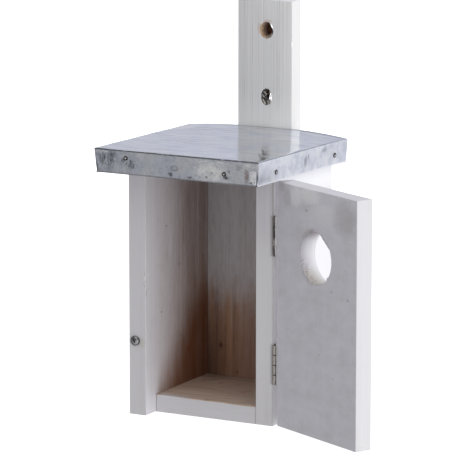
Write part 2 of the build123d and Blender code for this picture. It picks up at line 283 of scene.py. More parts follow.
def side_board(name, inner_face, outer_face, seed):
    """Whitewash outside and in front, bare towards the back and the floor inside, with painted light and
    shade on the hinge side and painted shade towards the back inside.
    """
    material, shader, places, (right, back, up) = material_at(name)
    colour, height = whitewash(places, "Z", seed)
    edge = (outer_face - inner_face) * 0.02
    outside = right.ramp(outer_face - edge, outer_face - edge * 0.4)
    inside = right.ramp(inner_face + edge, inner_face + edge * 0.4)
    # Outside, a wash that was brushed thinner round a fuller middle
    thicker = places.spot_near("YZ", (25, 95), (34, 50), 0.5)
    thinner = (1 - thicker * 0.55) * up.ramp(146, 134) * outside
    # On the hinge side: painted shade on the outer face near the front, broken by a painted highlight line;
    # painted light on the front edge; painted shade at its outer corner, strongest at the top, and beside
    # the hinges
    hinge_side = right.ramp(30, 34)
    high = up.ramp(126, 134)
    gleam = abs(back + 37.2).ramp(1.2, 0.4) * (0.3 + high * 0.7)
    front_edge = hinge_side * back.ramp(-38.9, -39.4)
    lit = up.ramp(130, 100) * (0.1 + up.ramp(5, 50) * 0.2)
    shade_by_hinge = abs(abs(up - 79.7) - 40.3).ramp(13.4, 11.8) * front_edge * right.ramp(44.6, 47.6)
    colour = colour.coats(
        (outside * 0.8, paint(240, 240, 241)),
        (thinner * (0.22 + height.ramp(0.42, 0.62) * 0.22), wash_thin),
        (outside * hinge_side * back.ramp(-28, -31) * (0.95 - gleam * 0.9), paint(206, 204, 203)),
        (front_edge * lit, paint(246, 246, 248)),
        (front_edge * right.ramp(46.2, 47.3) * (0.25 + high * 0.2), wash_nick),
        (shade_by_hinge * 0.5, paint(96, 90, 90)),
    )
    # Inside, the wash thins to grey and then to bare wood, deep brown low at the back;
    # this darkening towards the back is partly the wood's colour and partly painted shade
    wood = bare_pine(places, "Z", seed + 4)
    ragged = places.stretch(1, 1, 0.3).noise(0.12, 4, 0.65)
    depth = back + ragged * 22 - 11
    rise = up * 0.75 - back + ragged * 26 - 13
    fibres, streaks = grain(places, "Z", seed + 8)
    lined = fibres.ramp(0.35, 0.62) * 0.3 + streaks.ramp(0.3, 0.65) * 0.25 + 0.55
    behind_edge = back.ramp(-40.2, -36)
    greyed = 0.5 * fibres + 0.3 + up.ramp(70, 110) * 0.2
    low = rise.ramp(62, 17) * up.ramp(100, 56) * inside * behind_edge * (lined * 0.4 + 0.64)
    reddish = (streaks.ramp(0.52, 0.66) * 0.7).blend(pine_red, paint(168, 104, 62))
    dark_lines = places.shift(seed, 0, 0).stretch(1, 1, 0.02).noise(1.1, 3, 0.6)
    lined_part = depth.ramp(-30, 10) * inside * (0.4 - up.ramp(80, 120) * 0.2)
    scuffs = places.shift(0, seed, 0).stretch(1, 1, 0.14).noise(0.9, 4, 0.7)
    washed = inside * behind_edge * (1 - low)
    colour = colour.coats(
        (inside * back.ramp(-50, -30) * lined * 0.3, wash_pink),
        (depth.ramp(-38, 14) * inside * lined * 0.9, greyed.blend(wood, paint(138, 124, 120))),
        (low * 0.96, (depth.ramp(-38, 0) * 0.9).blend(reddish, pine_deep)),
        (dark_lines.ramp(0.6, 0.72) * lined_part, pine_dark),
        (scuffs.ramp(0.52, 0.68) * washed * 0.2, wash_nick),
        (scuffs.ramp(0.44, 0.34) * washed * 0.22, wash_soft),
    )
    for place in ((-32, 62.7), (-7.7, 43.2), (-9.6, 89.5), (-25.8, 116.7)):
        nick = places.spot_near("YZ", place, (1.4, 1), 0.6) * inside
        colour = colour.coats((nick * 0.5, wash_nick))
    # A knot, a stain by the catch screw, and the chipped corner of the left board's front edge
    eye = knot(places, "YZ", (2.5, 32.8), (2.2, 3.4)) * inside
    stain = places.spot_near("XZ", (-38.4, 46.6), (3.4, 5), 0.8) * back.ramp(-51, -51.4)
    chips = places.shift(seed, 0, seed).stretch(1, 1, 0.35).noise(0.5, 3, 0.6)
    at_edge = abs(right + 35.9).ramp(1.6, 0.2) * back.ramp(-46, -50)
    at_edge = at_edge * up.ramp(74, 80) * up.ramp(96, 88)
    colour = colour.coats(
        (eye * 0.7, paint(124, 62, 34)),
        (stain * 0.5, paint(206, 205, 190)),
        (chips.ramp(0.56, 0.62) * at_edge * 0.8, paint(240, 240, 242)),
        (chips.ramp(0.42, 0.36) * at_edge * 0.5, wash_nick),
    )
    dress(shader, colour, 0.62 + height * 0.2, height, 0.25)
    return material


for name, inner_face, outer_face, seed in (
    ("left_wall", -35.5, -47.5, 11),
    ("right_wall", 35.5, 47.5, 37),
):
    side = side_board(name + "_whitewashed_pine", inner_face, outer_face, seed)
    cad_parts[name].material_slots[0].material = side


# Back board. The same softwood, held between the side boards. Inside it is thinly washed
# in its upper part and bare brown pine below, with a wavy edge between them.
material, shader, places, (right, back, up) = material_at("back_wall_whitewashed_pine")
colour, height = whitewash(places, "Z", 53)
wood = bare_pine(places, "Z", 61)
ragged = places.stretch(1, 1, 0.6).noise(0.12, 5, 0.7)
level = up + ragged * 30 - 15
low = level.ramp(90, 50)
inside = back.ramp(29, 27.7)
speckle = places.stretch(1, 1, 0.25).noise(0.5, 4, 0.6)
lines = places.stretch(1, 1, 0.015).noise(0.6, 4, 0.65)
streaks = places.stretch(1, 1, 0.02).noise(0.5, 3)
worn_through = level.ramp(84, 46) * (0.8 + speckle * 0.4)
# Painted shade in the back left corner inside, deepest low down, and painted light towards the right
corner = right.ramp(-19, -35.5) * (0.16 + up.ramp(85, 14) * 0.55)
lighter = right.ramp(-24, -3) * (0.16 - up.ramp(66, 40) * 0.04)
colour = colour.coats(
    (inside * (0.4 + speckle.ramp(0.4, 0.7) * 0.22), wash_smudge),
    (inside * lines.ramp(0.55, 0.7) * 0.2, wash_nick),
    (worn_through * inside * 0.9, wood),
    (level.ramp(66, 20) * inside * 0.5, pine_red),
    (streaks.ramp(0.55, 0.72) * low * inside * 0.35, paint(186, 136, 98)),
    (streaks.ramp(0.45, 0.33) * low * inside * 0.3, pine_dark),
    (knot(places, "XZ", (-25.7, 30.9), (1.8, 2.6)) * inside * 0.8, pine_dark),
    (knot(places, "XZ", (-14, 14.5), (0.8, 1)) * inside * 0.8, pine_dark),
    (corner * inside, paint(66, 46, 36)),
    (lighter * inside, paint(226, 214, 212)),
)
dress(shader, colour, 0.62 + height * 0.2, height, 0.25)
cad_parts["back_wall"].material_slots[0].material = material


# Floor board. Bare pine on top, with the grain from side to side and a curved figure at
# the front left. Only its front edge has been washed, and a thin brown line is left on top.
material, shader, places, (right, back, up) = material_at("floor_bare_pine")
curve = places.shift(60, 75, 0).stretch(0.35, 1, 0).noise(0.035, 2) * 60
figure = ((back + curve) / 5.5).fraction()
fibres, streaks = grain(places, "X", 71)
# A pale tone all over, paler towards the right and the front as painted light, and darker towards the back,
# most at the left, as painted shade
pale = 0.26 + right.ramp(2, 30) * 0.15 + back.ramp(-6, -26) * 0.1
darker = back.ramp(6, 27) * (0.5 - right.ramp(-28, -14) * 0.3)
creeping = back.ramp(-33, -38.2) * right.ramp(-6, -20)
front_wash, height = whitewash(places, "X", 75)
front = back.ramp(-38.9, -39.35)
joint = abs(right).ramp(34.7, 35.3) * front
line = up.ramp(10.9, 11.2) * back.ramp(-38.4, -39.2)
line = line * (0.35 + right.ramp(4, -20) * 0.65) * streaks.ramp(0.35, 0.55)
colour = (streaks.ramp(0.3, 0.7) * 0.6).blend(paint(206, 184, 164), pine_warm).coats(
    (figure.ramp(0.35, 0.95) * 0.55, pine_warm),
    (figure.ramp(0.7, 0.96) * 0.75, pine_brown),
    (fibres.ramp(0.48, 0.72) * 0.45, pine_brown),
    (pale, paint(224, 210, 198)),
    (darker, pine_dark),
    (creeping * right.ramp(-35, -31) * 0.75, wash_soft),
    (front * (up + fibres).ramp(11.6, 11), front_wash),
    (joint * 0.4, wash_nick),
    (line * 0.45, paint(150, 110, 80)),
)
dress(shader, colour, 0.7, height, 0.2)
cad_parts["floor_board"].material_slots[0].material = material


# Roof board. A softwood board under the metal, nailed to the walls and washed like them.
# Only its underside and its back edge show.
material, shader, places, (right, back, up) = material_at("roof_board_whitewashed_pine")
colour, height = whitewash(places, "X", 83)
end_grain = places.stretch(0.2, 1, 1).noise(0.9, 3)
colour = colour.coats((end_grain.ramp(0.4, 0.7) * back.ramp(38.4, 39) * 0.5, wash_thin))
dress(shader, colour, 0.75, height, 0.25)
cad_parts["roof_board"].material_slots[0].material = material


# Roof sheet. Thin zinc-coated steel, folded down over the roof board in front and at both
# sides and nailed through these skirts. The flat top has a low bow along its free back edge,
# and the old skirts are stained, scratched and a little dented.
roof_front_edge = Vector((0, -0.0521, 0.159))
roof_fall = radians(-0.9)
roof_place = Matrix.Translation(roof_front_edge) @ Matrix.Rotation(roof_fall, 4, "X")
sheet_left = -57.4 * mm
sheet_right = 57.5 * mm
sheet_front = -25.4 * mm
sheet_back = 93.3 * mm
sheet_top = 12.7 * mm
skirt_drop = 15 * mm
skirt_lean = 1.2 * mm
skirt_angle = 4.7
skirt_steps = 6
hem_flare = 0.2 * mm
hem_drop = 0.7 * mm
sheet_thickness = 0.7 * mm
fold_radius = 0.7 * mm
back_bow = 2.7 * mm
right_droop = 0.7 * mm
dent_size = 22 * mm
dent_depth = 0.5 * mm
notch_left = -20.5 * mm
notch_right = 19.1 * mm
notch_front = 91.2 * mm
hair = 0.01 * mm


def middle_of(item):
    """Where a point, edge or face of a mesh is."""
    points = [item] if isinstance(item, bmesh.types.BMVert) else item.verts
    return sum((point.co for point in points), Vector()) / len(points)


def pick(piece, kind, wanted):
    """In edit mode, select just the points, edges or faces whose place passes a test."""
    bpy.ops.mesh.select_mode(type=kind)
    bpy.ops.mesh.select_all(action="DESELECT")
    mesh = bmesh.from_edit_mesh(piece.data)
    for item in {"VERT": mesh.verts, "EDGE": mesh.edges, "FACE": mesh.faces}[kind]:
        if wanted(item, middle_of(item)):
            item.select_set(True)
    bmesh.update_edit_mesh(piece.data)


def extrude(x, y, z):
    """In edit mode, draw out what is selected."""
    bpy.ops.mesh.extrude_region_move(TRANSFORM_OT_translate={"value": (x, y, z)})


def take_up(piece):
    """Select one piece alone, and make it the active one."""
    bpy.ops.object.select_all(action="DESELECT")
    piece.select_set(True)
    bpy.context.view_layer.objects.active = piece


def put(piece, matrix):
    """Move a piece into place, and leave its object at the origin."""
    piece.matrix_basis = matrix @ piece.matrix_basis
    take_up(piece)
    bpy.ops.object.transform_apply(location=True, rotation=True, scale=True)


def modify(piece, kind, **settings):
    """Add a modifier to a piece and apply it."""
    bpy.context.view_layer.objects.active = piece
    modifier = piece.modifiers.new(kind.lower(), kind)
    for name, value in settings.items():
        setattr(modifier, name, value)
    bpy.ops.object.modifier_apply(modifier=modifier.name)


def smooth(piece, degrees):
    """Shade a piece smooth, except over edges sharper than an angle."""
    take_up(piece)
    bpy.ops.object.shade_smooth_by_angle(angle=radians(degrees))


sheet = add(bpy.ops.mesh.primitive_grid_add, x_subdivisions=30, y_subdivisions=32, size=1)
sheet.name = "roof_sheet"
sheet_width = sheet_right - sheet_left
sheet_depth = sheet_back - sheet_front
sheet.scale = (sheet_width, sheet_depth, 1)
sheet_middle = Vector(((sheet_left + sheet_right) / 2, (sheet_front + sheet_back) / 2, sheet_top))
put(sheet, Matrix.Translation(sheet_middle))
bpy.ops.object.mode_set(mode="EDIT")
for place, direction in (
    ((notch_left, 0, 0), (1, 0, 0)),
    ((notch_right, 0, 0), (1, 0, 0)),
    ((0, notch_front, 0), (0, 1, 0)),
):
    bpy.ops.mesh.select_all(action="SELECT")
    bpy.ops.mesh.bisect(plane_co=place, plane_no=direction)
pick(sheet, "FACE", lambda face, at: notch_left < at.x < notch_right and at.y > notch_front)
bpy.ops.mesh.delete(type="FACE")


def on_border(at):
    """Whether a place is on the sheet's front edge or on one of its side edges."""
    from_side = min(abs(at.x - sheet_left), abs(at.x - sheet_right))
    return from_side < hair or abs(at.y - sheet_front) < hair


def on_fold(edge, at):
    """Whether an edge lies where the sheet is folded."""
    along_top = abs(at.z - sheet_top) < hair and on_border(at)
    direction = edge.verts[0].co - edge.verts[1].co
    upright = abs(direction.z) > mm and at.y < sheet_front + 2 * mm
    at_corner = min(abs(at.x - sheet_left), abs(at.x - sheet_right)) < 2 * mm
    return along_top or (upright and at_corner)


pick(sheet, "EDGE", lambda edge, at: edge.is_boundary and on_border(at))
fold_centre = (sheet_middle.x, sheet_back, sheet_top)
for step in range(skirt_steps):
    extrude(0, 0, -(skirt_drop - hem_drop) / skirt_steps)
    lean_before = skirt_lean * step / skirt_steps
    lean_after = skirt_lean * (step + 1) / skirt_steps
    narrower = (sheet_width - 2 * lean_after) / (sheet_width - 2 * lean_before)
    shorter = (sheet_depth - lean_after) / (sheet_depth - lean_before)
    bpy.ops.transform.resize(value=(narrower, shorter, 1), center_override=fold_centre)
extrude(0, 0, -hem_drop)
flared = (1 + 2 * hem_flare / sheet_width, 1 + hem_flare / sheet_depth, 1)
bpy.ops.transform.resize(value=flared, center_override=fold_centre)
pick(sheet, "EDGE", on_fold)
bpy.ops.mesh.bevel(offset=fold_radius, segments=3, affect="EDGES")
bpy.ops.object.mode_set(mode="OBJECT")

for point in sheet.data.vertices:
    across = (point.co.x - sheet_middle.x) / (sheet_width / 2)
    along = max(0, (point.co.y - sheet_front) / sheet_depth)
    point.co.z += back_bow * (1 - across * across) * along * along
    if across > 0:
        point.co.z -= right_droop * (across * along) ** 4

dents = bpy.data.textures.new("sheet_dents", "CLOUDS")
dents.noise_scale = dent_size
dent_settings = {"texture": dents, "texture_coords": "LOCAL", "mid_level": 0.62}
modify(sheet, "DISPLACE", strength=dent_depth, **dent_settings)
modify(sheet, "SOLIDIFY", thickness=sheet_thickness, offset=-1)
smooth(sheet, 40)
put(sheet, roof_place)

zinc_blue = paint(209, 214, 227)
zinc_light = paint(225, 228, 233)
zinc_grey = paint(176, 179, 190)
zinc_dark = paint(122, 124, 134)
zinc_stain = paint(66, 67, 72)
zinc_chalk = paint(236, 234, 232)


def zinc(name):
    """Zinc-coated sheet, with places counted from the roof board's front edge."""
    material, shader, places, (right, back, up) = material_at(name, roof_front_edge, (roof_fall, 0, 0))
    top = up.ramp(12, 12.5)
    front = back.ramp(-23.6, -24.4) * (1 - top)
    sides = (1 - top) * (1 - front)
    # The top: clouded, wiped from side to side, and scratched most at the left
    streaks = places.stretch(0.05, 1, 1).noise(0.3, 4, 0.6)
    clouds = places.noise(0.06, 4, 0.6)
    wiped = places.stretch(0.2, 1, 1).shift(7, 3, 0).noise(0.17, 5, 0.65)
    scratches = places.stretch(0.08, 1, 1).noise(0.55, 3, 0.6)
    left_part = right.ramp(10, -20) * top
    back_line = back.ramp(88.6, 90.8) * top * (0.3 + right.ramp(-48, -20) * 0.7)
    # The side skirts: pale, with slanting scratches. The front skirt: cloudy grey and speckled,
    # densely stained at its left end, with a pale chalky bloom that grows towards the right.
    patches = places.noise(0.16, 5, 0.65)
    grit = places.noise(0.5, 4, 0.7, 0.6)
    flecks = places.noise(1.4, 3, 0.7)
    rubbed = places.stretch(0.2, 1, 1).noise(1, 3, 0.6)
    bloom = places.spot_near("XZ", (24, 3.5), (17, 8), 1.2) * 0.9
    bloom = bloom.most(places.spot_near("XZ", (27, 10.2), (19, 2.2)) * rubbed.ramp(0.5, 0.6) * 0.9)
    bloom = bloom.most(places.spot_near("XZ", (-50, 10.9), (9, 1)) * rubbed.ramp(0.35, 0.5))
    bloom = bloom.most(places.spot_near("XZ", (50.5, 9.9), (8, 2.2)) * rubbed.ramp(0.4, 0.55))
    bloom = bloom.most(right.ramp(-30, 40) * patches.ramp(0.5, 0.66) * 0.6)
    bloom = bloom * (0.35 + grit.ramp(0.58, 0.4) * 0.65) * front
    stained = (flecks * 0.4 + patches * 0.6).ramp(0.42, 0.6) * (right.ramp(-22, -52) * front)
    brushed = places.stretch(1, 1, 0.3).noise(0.9, 4, 0.7)
    scrubbed = places.spot_near("XZ", (-47.5, 7.5), (9, 6.5))
    scrubbed = scrubbed.most(places.spot_near("XZ", (-31.8, 4.4), (6, 4.2), 1)) * front
    colour = clouds.ramp(0.35, 0.65).blend(zinc_blue, zinc_light).coats(
        (streaks.ramp(0.48, 0.7) * top * 0.4, zinc_grey),
        (wiped.ramp(0.54, 0.66) * top * 0.5, zinc_grey),
        (wiped.ramp(0.44, 0.34) * top * 0.7, zinc_chalk),
        (scratches.ramp(0.54, 0.66) * (0.15 + left_part * 0.35) * top, zinc_dark),
        (scratches.ramp(0.46, 0.34) * (0.3 + left_part * 0.6) * top, zinc_chalk),
        (back_line * (0.35 + wiped), zinc_dark),
        (sides * 0.35, paint(226, 223, 208)),
        (sides * patches.ramp(0.42, 0.62) * 0.4, zinc_grey),
        (patches.ramp(0.38, 0.62) * front * 0.3, zinc_grey),
        (grit.ramp(0.52, 0.68) * front * 0.3, zinc_dark),
        (flecks.ramp(0.56, 0.66) * front * 0.35, zinc_dark),
        (bloom * 0.85, zinc_chalk),
        (stained * 0.5, zinc_dark),
        (scrubbed * brushed.ramp(0.44, 0.6) * 0.75, zinc_stain),
    )
    # Single marks on the front skirt, among them a ring, a rusty streak and the tab's seam
    for place, size, strength in (
        ((-56.4, 1), (2.2, 5), 0.8),
        ((-36.8, 6.6), (2, 1.6), 0.6),
        ((-30.6, 3.6), (2.6, 2.2), 0.4),
        ((-3.6, 0.3), (2.2, 2), 0.8),
        ((9.6, -0.5), (2.6, 1.2), 0.7),
        ((21.4, 0.8), (1.3, 1.3), 0.5),
        ((25, 3.8), (1.2, 1), 0.4),
        ((34.6, 1.6), (2.6, 1.8), 0.9),
        ((36.8, 5.4), (1.6, 1.6), 0.5),
        ((52.2, -0.6), (2, 0.8), 0.7),
        ((44, 8.6), (3.4, 3), 0.25),
    ):
        mark = places.spot_near("XZ", place, size, 1.6) * (0.45 + grit) * front
        colour = colour.coats((mark * strength, zinc_stain))
    ring = places.spot_near("XZ", (-0.8, 4.2), (4, 2.4), 0.5)
    ring = ring * (1 - places.spot_near("XZ", (-0.8, 4.4), (2.9, 1.5), 0.5) * 0.8) * front
    rusty = places.spot_near("XZ", (48.9, 3.4), (2, 6.4), 1.6) * (0.2 + grit) * front
    seam = abs(right - up * 0.1 - 56.1).ramp(0.6, 0.2) * front
    scratch = places.stretch(1, 0.25, 0.6).noise(0.5, 4, 0.65, 1.2)
    colour = colour.coats(
        (ring * 0.55, zinc_stain),
        (rusty * 0.9, paint(150, 122, 118)),
        (seam * (0.4 + up.ramp(8, 3) * 0.5), zinc_stain),
        (scratch.ramp(0.6, 0.72) * sides * 0.45, zinc_dark),
    )
    # Marks on the side skirts, the darkest round their nails
    for place, size, strength in (
        ((37.6, 5), (2.6, 5), 0.5),
        ((41, 7.5), (1.2, 2.6), 0.4),
        ((-0.9, 3.5), (2.3, 2.3), 1),
        ((77, 3.5), (2.5, 2.5), 0.8),
        ((62, 9), (5, 2), 0.3),
    ):
        mark = places.spot_near("YZ", place, size, 0.5) * (0.55 + grit * 0.7) * sides
        colour = colour.coats((mark * strength, zinc_stain))
    # A dark line along the front fold, pale cut edges, and on the top a mark of four strokes
    # that is partly a stain and partly a painted reflection of a hanging hole in the batten
    notches = places.noise(0.45, 3).ramp(0.3, 0.5)
    fold = back.ramp(-24.2, -24.7) * up.ramp(11.7, 12.1) * (0.6 + notches * 0.4)
    side_fold = abs(right).ramp(56.5, 57) * up.ramp(11.9, 12.3) * (1 - fold)
    smudge_and_reflection = places.around((49.3, -5.6, 0), -61.3).spot_near("XY", (0, 0), (12, 2.4), 0.2) * 0.7
    for middle, turn, reach, half_width, strength in (
        ((51.3, -8.9, 0), -61.3, 11, 2.4, 1),
        ((41.4, 10.8, 0), -59.4, 21, 1.05, 1),
        ((45.2, -1.3, 0), -59.6, 15, 0.9, 0.9),
    ):
        stroke = places.around(middle, turn).spot_near("XY", (0, 0), (reach, half_width))
        smudge_and_reflection = smudge_and_reflection.most(stroke * strength)
    colour = colour.coats(
        (fold * 0.85, zinc_stain),
        (side_fold * 0.5, zinc_dark),
        (up.ramp(-1.6, -1.9) * sides * 0.7, zinc_chalk),
        (up.ramp(-1.4, -1.9) * front * 0.5, zinc_stain),
        (smudge_and_reflection * top * 0.9, zinc_stain),
    )
    roughness = 0.1 + (1 - top) * 0.24 + grit * 0.08 + bloom * 0.3
    relief = streaks * top * 0.4 + grit * (1 - top) + clouds
    dress(shader, colour, roughness, relief, 0.1, 1 - bloom * 0.9)
    return material


sheet.data.materials.append(zinc("roof_zinc"))
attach(sheet, "box")
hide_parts("roof_cap")


# Corner tab. The end of the right skirt, folded round the corner onto the front skirt and
# beaten flat there. Its pale colour is a painted highlight.
tab_left = 51.3 * mm
tab_right = 55.2 * mm
tab_low = -1.3 * mm
tab_high = 7.2 * mm
tab_front = -24.55 * mm
tab_thickness = 0.4 * mm
tab = add(bpy.ops.mesh.primitive_grid_add, x_subdivisions=4, y_subdivisions=6, size=1)
tab.name = "roof_corner_tab"
tab.scale = (tab_right - tab_left, tab_high - tab_low, 1)
put(tab, Matrix.Rotation(radians(90 + skirt_angle), 4, "X"))
bpy.ops.object.mode_set(mode="EDIT")
pick(tab, "VERT", lambda point, at: at.z > 4 * mm and at.x < -0.5 * mm)
bpy.ops.transform.translate(value=(0.3 * mm, 0, -0.6 * mm))
pick(tab, "VERT", lambda point, at: at.z < -4 * mm and at.x < -2 * mm)
bpy.ops.transform.translate(value=(0.9 * mm, 0, 0.2 * mm))
bpy.ops.object.mode_set(mode="OBJECT")
put(tab, Matrix.Translation(((tab_left + tab_right) / 2, tab_front, (tab_low + tab_high) / 2)))
modify(tab, "SOLIDIFY", thickness=tab_thickness, offset=1)
modify(tab, "BEVEL", width=0.15 * mm, segments=2)
smooth(tab, 35)
put(tab, roof_place)
material, shader, places, _ = material_at("roof_corner_zinc", roof_front_edge, (roof_fall, 0, 0))
grit = places.noise(0.5, 4, 0.7, 0.6)
patches = places.noise(0.3, 4, 0.6)
specks = places.spot_near("XZ", (52.2, -0.3), (1.4, 0.8), 1)
specks = specks.most(places.spot_near("XZ", (54.6, 0.2), (0.7, 0.7), 1))
# Nearly white zinc as a painted highlight, with darker patches and a few specks
colour = grit.ramp(0.46, 0.7).blend(paint(242, 242, 244), zinc_grey).coats(
    (patches.ramp(0.54, 0.68) * 0.5, zinc_dark),
    (specks * 0.8, zinc_stain),
)
dress(shader, colour, 0.34 + grit * 0.12, grit, 0.1, 0.4)
tab.data.materials.append(material)
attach(tab, "box")


# Hanging batten. A planed strip of the same softwood, streaked with whitewash, that stands
# behind the box. Two holes were drilled through its top for hanging, and their rims tore.
batten_width = 38.6 * mm
batten_thickness = 12.4 * mm
batten_length = 250 * mm
batten_middle = Vector((-0.7 * mm, 45.7 * mm, 129 * mm))
hole_radius = 5.3 * mm
hole_right = 0.4 * mm
hole_levels = (192.1 * mm, 234.6 * mm)
hole_widths = (0.72, 0.92)
hole_flares = (1.4, 1)
flare_start = 1.2 * mm
flare_length = 0.9 * mm


def block(sizes, place):
    """A block of a size, put in its place, as a start."""
    made = add(bpy.ops.mesh.primitive_cube_add, size=1)
    made.scale = sizes
    put(made, place)
    return made


def rod(sides, radius, length, place):
    """A round rod that lay along Z, put in its place, as a start."""
    made = add(bpy.ops.mesh.primitive_cylinder_add, vertices=sides, radius=radius, depth=length)
    put(made, place)
    return made


def cut(piece, cutter):
    """Take a cutter's shape out of a piece, and put the cutter away."""
    modify(piece, "BOOLEAN", object=cutter, operation="DIFFERENCE", solver="EXACT")
    bpy.data.objects.remove(cutter)


forwards = Matrix.Rotation(radians(90), 4, "X")
batten = block((batten_width, batten_thickness, batten_length), Matrix.Translation(batten_middle))
batten.name = "streaked_batten"
bpy.ops.object.mode_set(mode="EDIT")
bpy.ops.mesh.select_all(action="SELECT")
bpy.ops.mesh.bevel(offset=0.5 * mm, segments=2, affect="EDGES")
bpy.ops.object.mode_set(mode="OBJECT")
for seed, level, width, flare in zip((3, 4), hole_levels, hole_widths, hole_flares):
    drill = rod(28, hole_radius, batten_thickness, forwards)
    bpy.ops.object.mode_set(mode="EDIT")
    for side, wider in ((-1, 1), (1, flare)):
        pick(drill, "FACE", lambda face, at: face.normal.y * side > 0.9)
        bpy.ops.transform.translate(value=(0, -side * flare_start, 0))
        bpy.ops.transform.resize(value=(wider, 1, 1))
        extrude(0, side * flare_length, 0)
        extrude(0, side * flare_start, 0)
        bpy.ops.transform.resize(value=(1.1, 1, 1.12))
    bpy.ops.mesh.select_all(action="SELECT")
    bpy.ops.transform.vertex_random(offset=0.3 * mm, seed=seed)
    bpy.ops.transform.resize(value=(width, 1, 1))
    bpy.ops.object.mode_set(mode="OBJECT")
    put(drill, Matrix.Translation((hole_right, batten_middle.y, level)))
    cut(batten, drill)
smooth(batten, 35)


def batten_wood(name):
    """Whitewash brushed thinly along the grain, and raw brown wood and painted shade inside the holes."""
    material, shader, places, (right, back, up) = material_at(name)
    colour, height = whitewash(places, "Z", 97)
    brush = places.stretch(1, 1, 0.008).noise(0.6, 3, 0.6)
    colour = colour.coats(
        (0.42 + brush * 0.3, paint(242, 243, 243)),
        (brush.ramp(0.6, 0.68) * 0.16, wash_smudge),
        (brush.ramp(0.36, 0.3) * 0.5, paint(246, 246, 246)),
    )
    # Long brush lines, dark and light, that wander a little
    wander = places.stretch(0, 0, 1).noise(0.02, 3) * 1.2 - 0.6
    beside = right + wander
    worn = places.stretch(0.3, 0.3, 0.06).noise(1, 3).ramp(0.35, 0.6)
    wash_bright = paint(252, 252, 250)
    for middle, half_width, strength, tone in (
        (-9.3, 0.35, 0.5, wash_smudge),
        (-8.6, 0.35, 0.8, wash_bright),
        (-2.3, 0.4, 0.8, wash_bright),
        (-1.5, 0.3, 0.4, wash_smudge),
        (8.2, 0.45, 0.45, wash_smudge),
        (9.6, 0.3, 0.4, wash_nick),
        (-15.4, 0.5, 0.3, wash_smudge),
        (-12.2, 0.6, 0.3, wash_bright),
        (-5.2, 0.35, 0.3, wash_smudge),
        (2.4, 0.5, 0.35, wash_bright),
        (5.6, 0.4, 0.3, wash_smudge),
        (13.4, 0.6, 0.35, wash_bright),
    ):
        line = abs(beside - middle).ramp(half_width, 0) * (0.3 + worn * 0.7)
        colour = colour.coats((line * strength, tone))
    # A band just above the roof painted near white, as painted light, and the right face given a darker,
    # warmer tone, a painted shade that offsets the bright bluish light there
    low = up.ramp(200, 172) * up.ramp(160, 168)
    colour = colour.coats(
        (low * 0.75, paint(254, 254, 254)),
        (right.ramp(18.3, 18.55) * 0.6, paint(219, 217, 212)),
    )
    # Inside the holes: the lower one dark with pale hatching, a painted shade, and the upper one
    # cracked open and browner inwards, deepening into painted shade
    depth = back - batten_middle.y / mm
    slant = right * 0.9 + back * 0.5 + up * 1.3
    hatch = (slant * 0.55).fraction().ramp(0.72, 0.8) * places.noise(0.5, 3).ramp(0.45, 0.6)
    hatched_shade = hatch.blend(paint(52, 48, 42), paint(226, 224, 220))
    crumbs = places.noise(1.1, 3, 0.7)
    inwards = depth + crumbs * 4 - 2
    split_wood_and_shade = crumbs.ramp(0.4, 0.6).blend(paint(236, 212, 180), paint(190, 152, 116))
    split_wood_and_shade = inwards.ramp(-4, 1.6).blend(split_wood_and_shade, paint(120, 86, 60))
    split_wood_and_shade = split_wood_and_shade.coats((inwards.ramp(0.5, 3.5) * crumbs.ramp(0.3, 0.5), pine_dark))
    for level, width, inner in zip(hole_levels, hole_widths, (hatched_shade, split_wood_and_shade)):
        beside = (right - hole_right / mm) / width
        above = up - level / mm
        reach = beside.distance(above) + height * 0.5
        reach = reach - depth.ramp(-5.6, -3.5) * depth.ramp(6.1, 5.8) * 2.6
        torn = reach.ramp(6.6, 6.2) * depth.ramp(-6.16, -5.7)
        colour = colour.coats((torn * 0.94, inner))
    rim = places.spot_near("XZ", (1.2, 240.4), (3.4, 1.6), 1) * 0.5
    rim = rim.most(places.spot_near("XZ", (-4.6, 235.6), (1.9, 4.6), 1) * 0.5)
    chip = places.spot_near("XZ", (18.5, 226.6), (0.7, 2.2), 0.6) * depth.ramp(-5.2, -5.8)
    colour = colour.coats(
        (rim * depth.ramp(-5.9, -6.1), paint(208, 178, 156)),
        (chip, paint(254, 254, 254)),
    )
    dress(shader, colour, 0.62 + height * 0.2, height + brush * 0.5, 0.3)
    return material


batten.data.materials.clear()
batten.data.materials.append(batten_wood("batten_whitewashed_pine"))
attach(batten, "box")
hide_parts("hanging_batten")


# Splinters. Pale slivers of torn wood that the drill left at the near rims of the two holes,
# each with its place, its lean in degrees and its size.
sliver_length = 3.2 * mm
sliver_radius = 0.45 * mm
sliver_tip = 0.1 * mm
sliver_depth = 0.8 * mm
slivers = (
    (-1.6, 189, 18, 1.2),
    (-2.2, 192.6, 32, 0.7),
    (-0.6, 194.4, 40, 0.9),
    (1.4, 188.4, -6, 1.1),
    (2.9, 190, -16, 1.2),
    (3.3, 193.2, -28, 0.8),
    (2.6, 195.4, 160, 0.8),
    (1.2, 230.6, -6, 0.7),
    (2.6, 231, -14, 0.8),
    (3.8, 232.2, -24, 0.7),
    (-0.6, 230.4, 12, 0.5),
)


def spot(right, back, up, way):
    """A place in millimetres, with a direction."""
    return Matrix.Translation((right * mm, back * mm, up * mm)) @ way


def copy_to(model, places):
    """Copies of a piece, each with its own mesh, at a list of places."""
    copies = []
    for place in places:
        copy = model.copy()
        copy.data = model.data.copy()
        bpy.context.collection.objects.link(copy)
        put(copy, place)
        copies.append(copy)
    return copies


def join(copies, name):
    """Make one piece of several copies."""
    bpy.ops.object.select_all(action="DESELECT")
    for copy in copies:
        copy.select_set(True)
    bpy.context.view_layer.objects.active = copies[0]
    if len(copies) > 1:
        bpy.ops.object.join()
    piece = bpy.context.object
    piece.name = name
    return piece


